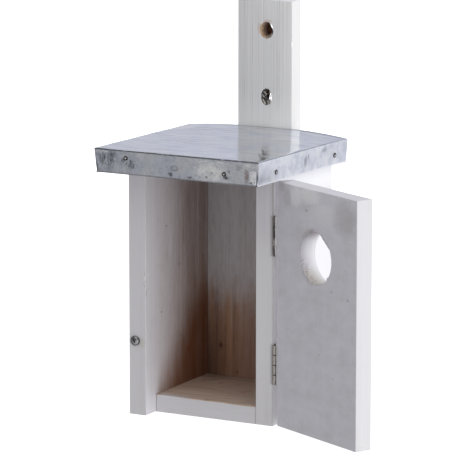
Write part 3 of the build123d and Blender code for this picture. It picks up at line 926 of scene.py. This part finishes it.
cone = {"vertices": 6, "radius1": sliver_radius, "radius2": sliver_tip, "depth": sliver_length}
sliver = add(bpy.ops.mesh.primitive_cone_add, **cone)
bpy.ops.object.mode_set(mode="EDIT")
bpy.ops.mesh.select_all(action="SELECT")
bpy.ops.mesh.subdivide(number_cuts=2)
bpy.ops.transform.vertex_random(offset=0.12 * mm, seed=5)
bpy.ops.object.mode_set(mode="OBJECT")
sliver_back = (batten_middle.y - batten_thickness / 2 + sliver_depth) / mm
outwards = Matrix.Rotation(radians(25), 4, "X")
splinters = join(copy_to(sliver, [
    spot(right, sliver_back, up, Matrix.Rotation(radians(-lean), 4, "Y") @ outwards @ Matrix.Scale(size, 4))
    for right, up, lean, size in slivers
]), "hole_splinters")
bpy.data.objects.remove(sliver)
material, shader, places, _ = material_at("torn_pine")
fibres, streaks = grain(places, "Z", 7)
colour = fibres.ramp(0.35, 0.7).blend(paint(240, 237, 230), paint(216, 202, 186))
dress(shader, colour, 0.8, fibres, 0.2)
splinters.data.materials.append(material)
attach(splinters, "box")


# Torn fibres. Ragged dark flaps of wood that the drill left across the far ends of the two
# holes, at their left side. Their near-black brown is partly painted shade.
flap_thickness = 0.7 * mm
flap_depth = 1.1 * mm

flaps = []
for level, flap_edge, tilt, seed in ((hole_levels[0], -3.3, -14, 4), (hole_levels[1], -2.25, 24, 9)):
    flap = rod(30, hole_radius + 0.2 * mm, flap_thickness, forwards)
    bpy.ops.object.mode_set(mode="EDIT")
    bpy.ops.mesh.select_all(action="SELECT")
    bpy.ops.mesh.bisect(
        plane_co=(flap_edge * mm, 0, 0),
        plane_no=(cos(radians(tilt)), 0, sin(radians(tilt))),
        clear_outer=True,
        use_fill=True,
    )
    pick(flap, "FACE", lambda face, at: face.normal.x > 0.5 and at.x > -3 * mm)
    bpy.ops.mesh.subdivide(number_cuts=9)
    pick(flap, "VERT", lambda point, at: at.x > -2.6 * mm)
    bpy.ops.transform.vertex_random(offset=0.55 * mm, seed=seed)
    bpy.ops.object.mode_set(mode="OBJECT")
    far_end = batten_middle.y + batten_thickness / 2 - flap_depth
    put(flap, Matrix.Translation((hole_right, far_end, level)))
    flaps.append(flap)
torn_fibres = join(flaps, "torn_hole_fibres")
material, shader, places, _ = material_at("torn_pine_dark_and_shaded")
fibres, streaks = grain(places, "Z", 17)
crumbs = places.noise(0.9, 3, 0.7)
# Brown to near black: the torn wood's colour, deepened as painted shade
colour = crumbs.ramp(0.4, 0.62).blend(paint(128, 96, 70), paint(42, 30, 24))
dress(shader, colour, 0.9, fibres, 0.3)
torn_fibres.data.materials.append(material)
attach(torn_fibres, "box")


# Screws. Bright zinc-plated wood screws with a cross recess: one pan head in the left
# board's front edge, and countersunk ones that hold the batten and the hinges.
def screw(head_radius, head_height, crown, shank_radius, length, recess):
    """A screw along Z, its head's underside at 0 and its tip below."""
    made = rod(32, head_radius, head_height, Matrix.Translation((0, 0, head_height / 2)))
    bpy.ops.object.mode_set(mode="EDIT")
    pick(made, "FACE", lambda face, at: face.normal.z > 0.9)
    for inset, rise in ((0.18, 0.45), (0.22, 0.3), (0.25, 0.2)):
        bpy.ops.mesh.inset(thickness=head_radius * inset)
        bpy.ops.transform.translate(value=(0, 0, crown * rise))
    pick(made, "FACE", lambda face, at: face.normal.z < -0.9)
    bpy.ops.mesh.inset(thickness=head_radius - shank_radius)
    extrude(0, 0, -length * 0.7)
    extrude(0, 0, -length * 0.3)
    bpy.ops.transform.resize(value=(0.15, 0.15, 1))
    bpy.ops.object.mode_set(mode="OBJECT")
    for turn in (0, 90):
        turned = Matrix.Rotation(radians(turn + 18), 4, "Z")
        top = turned @ Matrix.Translation((0, 0, head_height + crown))
        slot = block((recess, recess * 0.24, head_height), top)
        bpy.ops.object.mode_set(mode="EDIT")
        pick(slot, "FACE", lambda face, at: face.normal.z < -0.9)
        bpy.ops.transform.resize(value=(0.6, 0.6, 1))
        bpy.ops.object.mode_set(mode="OBJECT")
        cut(made, slot)
    smooth(made, 35)
    made.data.materials.clear()
    return made


def plated(name, dark, light, roughness, metal=1):
    """Bright or browned steel, with dirt in patches."""
    material, shader, places, _ = material_at(name)
    dirt = places.noise(0.45, 3, 0.6)
    fine = places.noise(3, 2)
    dress(shader, dirt.ramp(0.44, 0.6).blend(light, dark), roughness + fine * 0.15, fine, 0.02, metal)
    return material


screw_metal = plated("screw_zinc_plate", paint(128, 126, 126), paint(208, 208, 212), 0.18)
backwards = Matrix.Rotation(radians(-90), 4, "X")
rightwards = Matrix.Rotation(radians(90), 4, "Y")

catch_right = -42.9
catch_front = -52.1
catch_up = 47.4
pan = screw(
    head_radius=3.1 * mm,
    head_height=1.1 * mm,
    crown=0.9 * mm,
    shank_radius=1.5 * mm,
    length=16 * mm,
    recess=3.6 * mm,
)
catch = copy_to(pan, [spot(catch_right, catch_front, catch_up, forwards)])[0]
bpy.data.objects.remove(pan)
catch.name = "catch_screw_cross_head"
material = plated("catch_screw_zinc_plate", paint(104, 100, 98), paint(218, 218, 222), 0.16)
nodes = material.node_tree.nodes
shader = nodes["Principled BSDF"]
plate_colour = Layer(shader.inputs["Base Color"].links[0].from_socket)
right, back, up = [Layer(nodes["Mapping"].outputs[0]).axis(name) for name in "XYZ"]
beside = right - catch_right
above = up - catch_up
reach = beside.distance(above)
# Painted shade on the head: in the cross recess, round its rim, most on its right, and over its left half
recess = reach.ramp(2.1, 1.8) * back.ramp(-53.95, -53.6)
rim = reach.ramp(2.5, 3) * (0.45 + beside.ramp(1, 3) * 0.5)
shaded = beside.ramp(0.2, -1.4) * (above + beside * 0.4).ramp(-2.6, -0.6)
dark = recess.most(rim).most(shaded * 0.8)
colour = plate_colour.coats((dark * 0.92, paint(40, 38, 38)))
material.node_tree.links.new(colour.socket, shader.inputs["Base Color"])
catch.data.materials.append(material)
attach(catch, "box")
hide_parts("catch_screw")

flat = screw(
    head_radius=3.2 * mm,
    head_height=0.5 * mm,
    crown=0,
    shank_radius=1.5 * mm,
    length=20 * mm,
    recess=3.4 * mm,
)
batten_back = (batten_middle.y + batten_thickness / 2) / mm - 0.5
batten_screw_levels = (24.4, 79.2, 134)
batten_fixing = join(copy_to(flat, [
    spot(batten_middle.x / mm, batten_back, level, backwards) for level in batten_screw_levels
]), "batten_screws_cross_head")
bpy.data.objects.remove(flat)
batten_fixing.data.materials.append(screw_metal)
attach(batten_fixing, "box")
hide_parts("batten_screws")


# Nails. Cut wire nails with flat round heads, hammered through the skirts of the roof sheet
# and through the boards, a little dished by the hammer. The bare heads have a painted glint in the middle.
def wire_nail(head_radius, head_height, shank_radius, length):
    """A nail along Z, its head's underside at 0."""
    made = rod(24, head_radius, head_height, Matrix.Translation((0, 0, head_height / 2)))
    bpy.ops.object.mode_set(mode="EDIT")
    pick(made, "FACE", lambda face, at: face.normal.z > 0.9)
    bpy.ops.mesh.inset(thickness=head_radius * 0.2)
    bpy.ops.mesh.inset(thickness=head_radius * 0.35)
    bpy.ops.transform.translate(value=(0.1 * head_radius, 0, -0.25 * head_height))
    pick(made, "EDGE", lambda edge, at: at.z > head_height * 0.9 and at.xy.length > head_radius * 0.95)
    bpy.ops.mesh.bevel(offset=head_height * 0.4, segments=2, affect="EDGES")
    pick(made, "FACE", lambda face, at: face.normal.z < -0.9)
    bpy.ops.mesh.inset(thickness=head_radius - shank_radius)
    extrude(0, 0, -length * 0.92)
    extrude(0, 0, -length * 0.08)
    bpy.ops.transform.resize(value=(0.2, 0.2, 1))
    bpy.ops.object.mode_set(mode="OBJECT")
    smooth(made, 35)
    # The middle of each head takes the second, bright material: a painted glint
    for face in made.data.polygons:
        painted_glint = face.center.z > head_height * 0.6 and face.center.xy.length < head_radius * 0.4
        face.material_index = 1 if painted_glint else 0
    return made


nail = wire_nail(head_radius=1.4 * mm, head_height=0.5 * mm, shank_radius=0.8 * mm, length=22 * mm)
nail.data.materials.append(plated("nail_steel_dark", paint(44, 40, 38), paint(110, 104, 102), 0.3))
nail.data.materials.append(plated("nail_steel_painted_glint", paint(190, 188, 190), paint(240, 240, 242), 0.2))
painted_metal = plated("nail_steel_painted", paint(214, 211, 210), paint(242, 241, 242), 0.6, 0)


def nails(name, node, places, painted=False):
    """One piece of nails, at the places of a CAD node's own."""
    piece = join(copy_to(nail, places), name)
    if painted:
        piece.data.materials[0] = painted_metal
        piece.data.materials[1] = painted_metal
    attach(piece, "box")
    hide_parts(node)


skirt_face = 56.7
wall_face = 47.5
back_face = 39.5
low_nails_up = 5.7
leftwards = Matrix.Rotation(radians(-90), 4, "Y")
front_way = Matrix.Rotation(roof_fall - radians(skirt_angle), 4, "X") @ forwards
right_way = Matrix.Rotation(radians(skirt_angle), 4, "Y") @ rightwards
left_way = Matrix.Rotation(radians(-skirt_angle), 4, "Y") @ leftwards
side_nails = (
    (-23.5, low_nails_up),
    (11.5, low_nails_up),
    (33.5, 31.4),
    (33.5, 78.4),
    (33.5, 129),
)
nails("front_skirt_nails", "front_roof_nails", [
    spot(-35.1, -76.93, 167.2, front_way),
    spot(33.5, -76.65, 162.9, front_way),
])
nails("right_skirt_nails", "right_roof_nails", [
    spot(skirt_face, -53.25, 162.7, right_way),
    spot(skirt_face, 24.75, 161.5, right_way),
])
nails("left_skirt_nails", "left_roof_nails", [
    spot(-skirt_face, -54.45, 162.7, left_way),
    spot(-skirt_face, 22.75, 161.5, left_way),
])
nails("right_board_nails", "right_wall_nails", [
    spot(wall_face, back, up, rightwards) for back, up in side_nails
], painted=True)
nails("left_board_nails", "left_wall_nails", [
    spot(-wall_face, back, up, leftwards) for back, up in side_nails
], painted=True)
nails("back_board_nails", "back_wall_nails", [
    spot(right, back_face, low_nails_up, backwards) for right in (-27.5, 27.5)
], painted=True)
bpy.data.objects.remove(nail)


# Door. One board of the same softwood, washed evenly on both faces and on its edges. The
# round entrance was bored through it, and its rim and wall are stained brown in places.
door_pin = Vector((0.0492, -0.04, 0))
door_turn = radians(333)
door_side = Matrix.Translation(door_pin) @ Matrix.Rotation(door_turn, 4, "Z")
entrance_right = 41.7
entrance_up = 112.8
material, shader, places, (right, depth, up) = material_at(
    "door_whitewashed_pine", door_pin, (0, 0, door_turn)
)
colour, height = whitewash(places, "Z", 113)
beside = right - entrance_right
above = up - entrance_up
reach = beside.distance(above)
stain = places.noise(0.25, 4, 0.6)
flecks = places.noise(0.7, 4, 0.7)
smear = places.stretch(1, 1, 0.4).noise(0.05, 4, 0.6)
mottle = places.stretch(0.6, 1, 1).noise(0.1, 5, 0.65)

# The bored wall of the entrance, and the rubbed rim round it
in_bore = reach.ramp(16.5, 16.1)
upper = above.ramp(7, 14.5) * depth.ramp(13, 8) * (0.7 + flecks)
lower = above.ramp(-6, -13) * (0.4 + stain) * depth.ramp(13, 5)
left_low = beside.ramp(2, -8) * above.ramp(2, -6) * depth.ramp(8, 2)
at_face = depth.ramp(1.6, 0.8) * (1 - in_bore)
rim_top = reach.ramp(19.6, 16.8) * above.ramp(9, 12) * beside.ramp(4, -3)
rim_low = reach.ramp(19.2, 16.8) * above.ramp(-6, -10) * beside.ramp(0, -6)
rubbed = (rim_top * flecks.ramp(0.34, 0.54) + rim_low * flecks.ramp(0.4, 0.6) * 0.8) * at_face
# The inner face: mottled, and lighter in patches near its top
patch = places.spot_near("XZ", (21, 149), (9, 10), 0.8) * smear.ramp(0.3, 0.55)
patch = patch.most(places.spot_near("XZ", (35, 151), (16, 8), 0.8) * 0.95)
patch = patch.most(places.spot_near("XZ", (48, 141), (17, 9), 1) * 0.4)
colour = colour.coats(
    (in_bore * 0.6, paint(222, 221, 224)),
    # The bore's wall whiter towards the outer face, a painted light, and greyer towards the inner face, a
    # painted shade
    (in_bore * depth.ramp(7, 11) * 0.6, paint(246, 246, 246)),
    (in_bore * depth.ramp(7.5, 0.5) * 0.75, paint(178, 174, 182)),
    (in_bore * upper * 0.7, paint(166, 157, 162)),
    (in_bore * lower * 0.55, paint(204, 198, 178)),
    (in_bore * left_low * flecks.ramp(0.42, 0.6) * 0.65, paint(144, 130, 130)),
    (at_face * 0.45, paint(222, 222, 233)),
    (rubbed * 0.42, paint(140, 112, 116)),
    (mottle.ramp(0.45, 0.7) * at_face * 0.16, wash_smudge),
    (mottle.ramp(0.5, 0.32) * at_face * 0.3, paint(234, 234, 242)),
    (patch * at_face * 0.7, paint(246, 245, 248)),
)
for place, size, strength in (
    ((6.6, 152), (5, 5), 0.3),
    ((12, 146), (6, 8), 0.3),
    ((73, 141), (16, 14), 0.35),
    ((32.2, 141), (2.2, 1.2), 0.5),
    ((58.2, 95), (1.6, 1.3), 0.4),
    ((75, 92.6), (1.4, 1.2), 0.5),
):
    dim = places.spot_near("XZ", place, size, 0.9) * at_face
    colour = colour.coats((dim * strength, wash_smudge))
# The end face in a darker grey, a painted shade against the strong light from the right, with streaks of
# thin wash low down
end = right.ramp(83.2, 83.6)
colour = colour.coats(
    (end * 0.5, paint(217, 217, 217)),
    (end * smear.ramp(0.46, 0.62) * up.ramp(50, 10) * 0.3, wash_thin),
)
for place, size in (
    ((45.8, 54), (1.1, 0.8)),
    ((60.4, 41.9), (0.9, 0.9)),
    ((51.2, 22.1), (0.8, 0.6)),
    ((74.2, 92.3), (0.7, 0.9)),
):
    colour = colour.coats((places.spot_near("XZ", place, size) * 0.5, wash_smudge))
dress(shader, colour, 0.6 + height * 0.2, height, 0.22)
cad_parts["door"].material_slots[0].material = material


# Burr. A rough lip that the drill left inside the upper right of the entrance, painted over
# with the board.
burr_radius = 16.15 * mm
burr_start = 14.8 * mm
burr_thickness = 1.4 * mm
burr_depth = 1.3 * mm
burr_angle = radians(50.8)
inwards = Vector((cos(burr_angle), 0, sin(burr_angle)))
burr = rod(96, burr_radius, burr_thickness, forwards)
burr.name = "entrance_rim_burr"
bpy.ops.object.mode_set(mode="EDIT")
bpy.ops.mesh.select_all(action="SELECT")
bpy.ops.mesh.bisect(
    plane_co=inwards * burr_start,
    plane_no=inwards,
    clear_inner=True,
    use_fill=True,
)
pick(burr, "FACE", lambda face, at: face.normal.dot(inwards) < -0.9)
bpy.ops.mesh.subdivide(number_cuts=7)
pick(burr, "VERT", lambda point, at: at.dot(inwards) < burr_start + 0.05 * mm)
bpy.ops.transform.vertex_random(offset=0.25 * mm, seed=3)
bpy.ops.object.mode_set(mode="OBJECT")
put(burr, door_side @ Matrix.Translation((entrance_right * mm, burr_depth, entrance_up * mm)))
material, shader, places, _ = material_at("entrance_rim_pine", door_pin, (0, 0, door_turn))
colour, height = whitewash(places, "Z", 113)
flecks = places.noise(0.7, 4, 0.7)
dress(shader, flecks.ramp(0.4, 0.7).blend(colour, wash_smudge), 0.7, height, 0.22)
burr.data.materials.append(material)
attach(burr, "door_leaf")


# Hinges. Two small butt hinges of pressed steel, their knuckles rolled from the leaves and
# turning on a pin. They are screwed to the right board and to the door's hinge edge, and
# have been painted over and rubbed bare again.
hinge_reach = 9 * mm
hinge_length = 25 * mm
hinge_steel = 0.8 * mm
leaf_corner = 1.2 * mm
leaf_screw_in = 5.6 * mm
leaf_screw_off = 7 * mm
countersink_radius = 1.9 * mm
knuckle_radius = 1.22 * mm
knuckle_pitch = hinge_length / 4
knuckle_gap = 0.3 * mm
pin_to_plate = 1.3 * mm
hinge_bottoms = {"lower": 26.8 * mm, "upper": 107.5 * mm}


def hinge_leaf():
    """A leaf that reaches back along +Y from its pin on Z, with the first and third knuckle."""
    plate_middle = Matrix.Translation((-pin_to_plate, hinge_reach / 2, hinge_length / 2))
    plate = block((hinge_steel, hinge_reach, hinge_length), plate_middle)
    bpy.ops.object.mode_set(mode="EDIT")
    pick(plate, "EDGE", lambda edge, at: at.y > hinge_reach * 0.9 and abs(at.x + pin_to_plate) < hair)
    bpy.ops.mesh.bevel(offset=leaf_corner, segments=4, affect="EDGES")
    bpy.ops.object.mode_set(mode="OBJECT")
    for row in (1, 3):
        middle = Matrix.Translation((0, 0, (row + 0.5) * knuckle_pitch))
        cut(plate, block((6 * mm, 3.6 * mm, knuckle_pitch), middle))
    for off in (-leaf_screw_off, leaf_screw_off):
        middle = Matrix.Translation((-pin_to_plate, leaf_screw_in, hinge_length / 2 + off))
        cut(plate, rod(24, countersink_radius, 4 * mm, middle @ rightwards))
    pieces = [plate]
    for row in (0, 2):
        middle = (0, 0, (row + 0.5) * knuckle_pitch)
        knuckle_height = knuckle_pitch - knuckle_gap
        knuckle = rod(32, knuckle_radius, knuckle_height, Matrix.Translation(middle))
        bpy.ops.object.mode_set(mode="EDIT")
        pick(knuckle, "EDGE", lambda edge, at: abs(edge.verts[0].co.z - edge.verts[1].co.z) < hair / 10)
        bpy.ops.mesh.bevel(offset=0.18 * mm, segments=2, affect="EDGES")
        pick(knuckle, "FACE", lambda face, at: abs(face.normal.z) > 0.9)
        bpy.ops.mesh.inset(thickness=0.4 * mm)
        pick(knuckle, "FACE", lambda face, at: abs(face.normal.z) > 0.9 and at.xy.length < hair)
        bpy.ops.transform.resize(value=(1, 1, 0.94), center_override=middle)
        bpy.ops.object.mode_set(mode="OBJECT")
        pieces.append(knuckle)
    leaf = join(pieces, "hinge_leaf")
    smooth(leaf, 35)
    return leaf


def hinge_metal(name, bottom, dirty):
    """Worn steel, with painted shade in the gaps between the knuckles and where they meet the boards."""
    material, shader, places, (right, back, up) = material_at(name, (door_pin.x, door_pin.y, bottom))
    fine = places.stretch(1, 1, 0.5).noise(0.9, 4, 0.65)
    row = (up / (knuckle_pitch / mm)).fraction()
    between = abs(row - 0.5).ramp(0.42, 0.47)
    beside = right * 0.88 + back * 0.48
    line_at = -0.35 if dirty else 0.4
    door_line = abs(beside - line_at).ramp(0.45, 0.15)
    # Painted shade: in the gaps between the knuckles, down the barrel's left side and along one line down
    # the barrel; on the upper hinge it also grows darker towards the top
    painted_shade = between.most(beside.ramp(-0.9, -1.2) * 0.45).most(door_line)
    colour = fine.ramp(0.4, 0.65).blend(paint(212, 206, 201), paint(164, 154, 150))
    if dirty:
        splash = places.stretch(1, 1, 0.5).shift(3, 0, 1).noise(0.3, 3, 0.6)
        colour = colour.coats((splash.ramp(0.44, 0.56), paint(104, 94, 96)))
        painted_shade = painted_shade.most(up.ramp(15, 18) * 0.7) * (0.25 + up.ramp(3, 17) * 0.75)
    colour = colour.coats(
        (painted_shade * 0.85, paint(62, 54, 56)),
        (beside.ramp(line_at + 0.3, line_at + 0.5), paint(218, 216, 217)),
    )
    dress(shader, colour, 0.42 + fine * 0.2, fine, 0.06, 0.35)
    return material


leaf = hinge_leaf()
for level, bottom in hinge_bottoms.items():
    metal = hinge_metal(f"{level}_hinge_steel", bottom, level == "upper")
    on_wall = Matrix.Translation((door_pin.x, door_pin.y, bottom))
    turned_over = Matrix.Translation((0, 0, bottom + hinge_length)) @ Matrix.Rotation(radians(180), 4, "Y")
    for side, body, place in (
        ("wall", "box", on_wall),
        ("door", "door_leaf", door_side @ turned_over),
    ):
        piece = copy_to(leaf, [place])[0]
        piece.name = f"{level}_rolled_{side}_leaf"
        piece.data.materials.append(metal)
        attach(piece, body)
        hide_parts(f"{level}_hinge_{side}_leaf")
    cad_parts[f"{level}_hinge_pin"].material_slots[0].material = metal
bpy.data.objects.remove(leaf)

small = screw(
    head_radius=1.7 * mm,
    head_height=0.35 * mm,
    crown=0.25 * mm,
    shank_radius=0.9 * mm,
    length=9 * mm,
    recess=2 * mm,
)
leaf_screw_face = 47.7
leaf_screw_back = (door_pin.y + leaf_screw_in) / mm
for level, bottom in hinge_bottoms.items():
    middle = bottom + hinge_length / 2
    piece = join(copy_to(small, [
        spot(leaf_screw_face, leaf_screw_back, screw_up / mm, rightwards)
        for screw_up in (middle - leaf_screw_off, middle + leaf_screw_off)
    ]), f"{level}_wall_leaf_screws")
    piece.data.materials.append(screw_metal)
    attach(piece, "box")
    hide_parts(f"{level}_hinge_wall_screws")
    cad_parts[f"{level}_hinge_door_screws"].material_slots[0].material = screw_metal
bpy.data.objects.remove(small)


# Studio. A white floor that runs out of view, a white surround that is brighter behind and
# to the right than in front on the left, and one large soft lamp at the right.
floor_size = 30
lamp_place = (2.2, -0.4, 1)
lamp_aim = Vector((0, 0, 0.12))
floor = add(bpy.ops.mesh.primitive_plane_add, size=floor_size)
floor.name = "studio_floor"
material, shader, places, _ = material_at("studio_floor_white")
faint = places.noise(0.002, 2).blend(paint(247, 247, 248), paint(244, 244, 245))
material.node_tree.links.new(faint.socket, shader.inputs["Base Color"])
shader.inputs["Roughness"].default_value = 0.9
shader.inputs["Emission Color"].default_value = (1, 1, 1, 1)
shader.inputs["Emission Strength"].default_value = 0.7
floor.data.materials.append(material)
floor.visible_diffuse = False
floor.visible_glossy = False

world = bpy.data.worlds.new("studio_surround")
bpy.context.scene.world = world
world.use_nodes = True
surround = world.node_tree.nodes["Background"]
direction = Layer(world.node_tree.nodes.new("ShaderNodeTexCoord").outputs["Generated"])
from_right = direction.axis("X").ramp(0.3, 0.95)
from_behind = direction.axis("Y").ramp(0, 0.6)
from_above = direction.axis("Z").ramp(0.3, 1)
light = 0.44 + from_right * 1.13 + from_behind * 0.26 + from_above * 0.3
tint = from_behind.blend((1, 1, 1, 1), (0.88, 0.9, 1, 1))
world.node_tree.links.new(light.socket, surround.inputs["Strength"])
world.node_tree.links.new(tint.socket, surround.inputs["Color"])

lamp = add(bpy.ops.object.light_add, type="AREA", location=lamp_place)
lamp.name = "soft_right_lamp"
lamp.data.size = 1.6
lamp.data.energy = 4
lamp.rotation_euler = (lamp_aim - lamp.location).to_track_quat("-Z", "Y").to_euler()

bpy.context.scene.view_settings.view_transform = "Standard"
